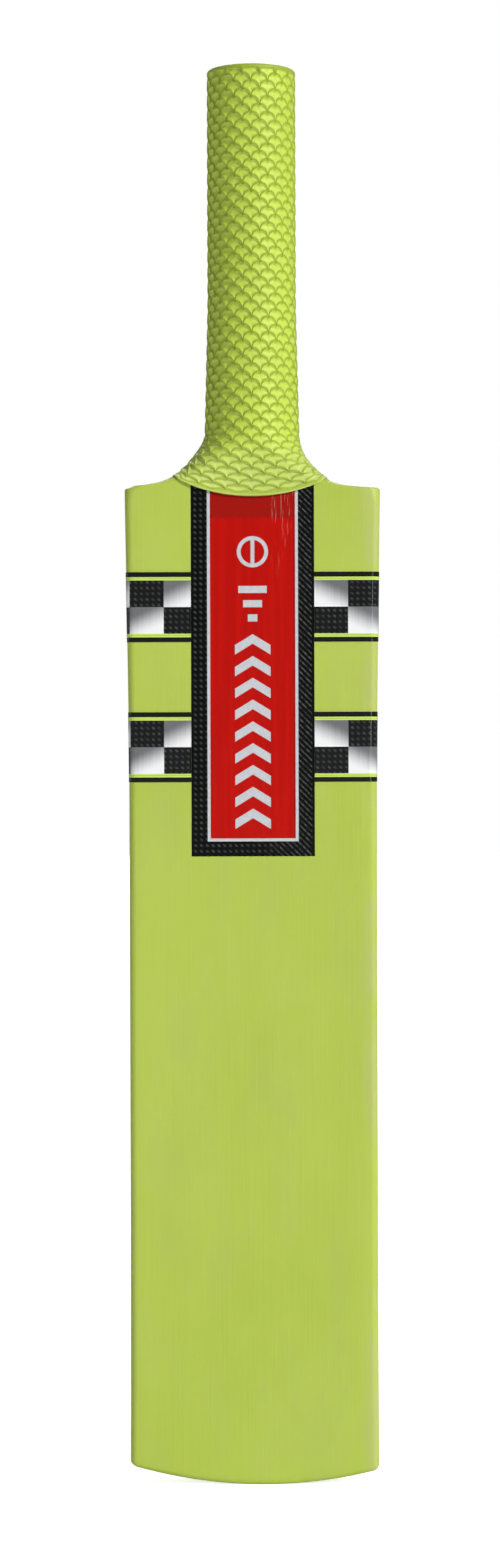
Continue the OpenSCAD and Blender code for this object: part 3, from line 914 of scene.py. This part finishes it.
def twine_material():
    """Waxed thread wound round the cane in one rising spiral, darker between the turns as painted shade."""
    p = Painter("waxed_twine")
    x, y, z = p.split()
    turn = p.math("ARCTAN2", y, x)
    phase = p.math("SUBTRACT", p.math("DIVIDE", z, TWINE_PITCH), p.math("DIVIDE", turn, 2 * math.pi))
    thread = p.math("ABSOLUTE", p.math("SINE", p.math("MULTIPLY", phase, math.pi)))
    fuzz = p.noise(p.stretch(4.0, 4.0, 4.0), detail=3.0)
    # the dark between the turns is painted shade in the grooves
    colour = p.blend(thread, TWINE_GAP_SHADE, TWINE_LIGHT)
    colour = p.blend(p.step(fuzz, 0.4, 0.8, 0.0, 0.3), colour, TWINE_FUZZ)
    return p.finish(Base_Color=colour, Roughness=0.7, Normal=p.bump(thread, 0.4))


def dress(node, material):
    """Gives a CAD node its finished material."""
    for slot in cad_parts[node].material_slots:
        slot.material = material


# ---- stage, light and camera ----

FLOOR_GLOW = 0.80             # keeps the floor near white where the camera sees it
FLOOR_REACH = 12.0            # metres from its middle to its sides
LIGHT_TARGET = (0, 0, 0.33)   # metres
CAMERA_X = -0.0013            # metres
CAMERA_Z = 0.2974
CAMERA_DISTANCE = 1.43
CAMERA_ROLL = 0.17            # degrees
VIEW_HEIGHT = 0.6586          # metres in view at the face of the blade


def build_floor():
    mesh = bpy.data.meshes.new("floor")
    corners = [(x * FLOOR_REACH, y * FLOOR_REACH, 0) for x, y in ((-1, -1), (1, -1), (1, 1), (-1, 1))]
    mesh.from_pydata(corners, [], [(0, 1, 2, 3)])
    p = Painter("floor_white")
    soft = p.noise(p.stretch(0.004, 0.004, 0.004), detail=2.0)
    seen = p.node("ShaderNodeLightPath", {}).outputs["Is Camera Ray"]
    mesh.materials.append(p.finish(
        Base_Color=p.blend(soft, rgb(0.90, 0.90, 0.90), rgb(0.94, 0.94, 0.94)), Roughness=0.9,
        Emission_Color=rgb(1, 1, 1), Emission_Strength=p.math("MULTIPLY", seen, FLOOR_GLOW)))
    floor = bpy.data.objects.new("floor", mesh)
    bpy.context.scene.collection.objects.link(floor)


def build_world(seen, cast):
    """White where the camera sees it, and a dimmer even light on the object."""
    world = bpy.data.worlds.new("studio")
    world.use_nodes = True
    tree = world.node_tree
    tree.nodes.clear()
    path = tree.nodes.new("ShaderNodeLightPath")
    strength = tree.nodes.new("ShaderNodeMix")
    strength.data_type = "FLOAT"
    strength.inputs[2].default_value = cast
    strength.inputs[3].default_value = seen
    background = tree.nodes.new("ShaderNodeBackground")
    background.inputs["Color"].default_value = rgb(1, 1, 1)
    output = tree.nodes.new("ShaderNodeOutputWorld")
    tree.links.new(path.outputs["Is Camera Ray"], strength.inputs[0])
    tree.links.new(strength.outputs[0], background.inputs["Strength"])
    tree.links.new(background.outputs[0], output.inputs[0])
    bpy.context.scene.world = world


def place_light(name, data, place, target):
    light = bpy.data.objects.new(name, data)
    light.location = place
    light.rotation_euler = (Vector(target) - Vector(place)).to_track_quat("-Z", "Y").to_euler()
    bpy.context.scene.collection.objects.link(light)


def add_sun(name, azimuth, elevation, strength, softness):
    """Even light from this far to the right of the front and this far above it, in degrees."""
    turn, climb = math.radians(azimuth), math.radians(elevation)
    way = Vector((math.sin(turn) * math.cos(climb), -math.cos(turn) * math.cos(climb), math.sin(climb)))
    data = bpy.data.lights.new(name, "SUN")
    data.energy = strength
    data.angle = math.radians(softness)
    place_light(name, data, 3 * way, (0, 0, 0))


def add_strip(name, place, width, height, watts):
    """A tall soft box, for its reflection in the glossy films."""
    data = bpy.data.lights.new(name, "AREA")
    data.shape = "RECTANGLE"
    data.size = width
    data.size_y = height
    data.energy = watts
    place_light(name, data, place, LIGHT_TARGET)


def build_camera():
    """Level with the bat and straight in front of it, as in the photograph."""
    data = bpy.data.cameras.new("camera")
    data.sensor_width = 36.0
    data.lens = data.sensor_width * (CAMERA_DISTANCE - FACE_Y * MM) / VIEW_HEIGHT
    data.clip_end = 50.0
    camera = bpy.data.objects.new("camera", data)
    camera.location = (CAMERA_X, -CAMERA_DISTANCE, CAMERA_Z)
    camera.rotation_euler = (math.radians(90), math.radians(CAMERA_ROLL), 0)
    bpy.context.scene.collection.objects.link(camera)
    bpy.context.scene.camera = camera


def build_studio():
    build_floor()
    build_world(seen=1.0, cast=0.23)
    add_sun("key", azimuth=45, elevation=28, strength=2.45, softness=7)
    add_sun("back_fill", azimuth=180, elevation=45, strength=0.8, softness=20)
    add_strip("strip_right", (0.66, -1.8, 0.33), width=0.05, height=0.7, watts=2.0)
    add_strip("strip_left", (-1.9, 0.13, 0.33), width=0.035, height=0.9, watts=1.0)
    build_camera()
    bpy.context.scene.view_settings.view_transform = "Standard"


def build_bat():
    build_blade(paint_material())
    build_grip(grip_material())
    checks = checker_material()
    for height in ("upper", "lower"):
        build_band(f"wing_band_{height}_left", checks, -1, CHECK_EDGE_LEFT)
        build_band(f"wing_band_{height}_right", checks, 1, CHECK_EDGE_RIGHT)
    silver = silver_film_material()
    dress("face_label", black_film_material())
    dress("centre_panel", red_film_material())
    dress("panel_border", silver)
    dress("emblem", silver)
    dress("twine_binding", twine_material())
    cane, spring = cane_material(), spring_material()
    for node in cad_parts:
        if node.startswith("cane_"):
            dress(node, cane)
        if node.startswith("handle_spring_"):
            dress(node, spring)


build_bat()
build_studio()
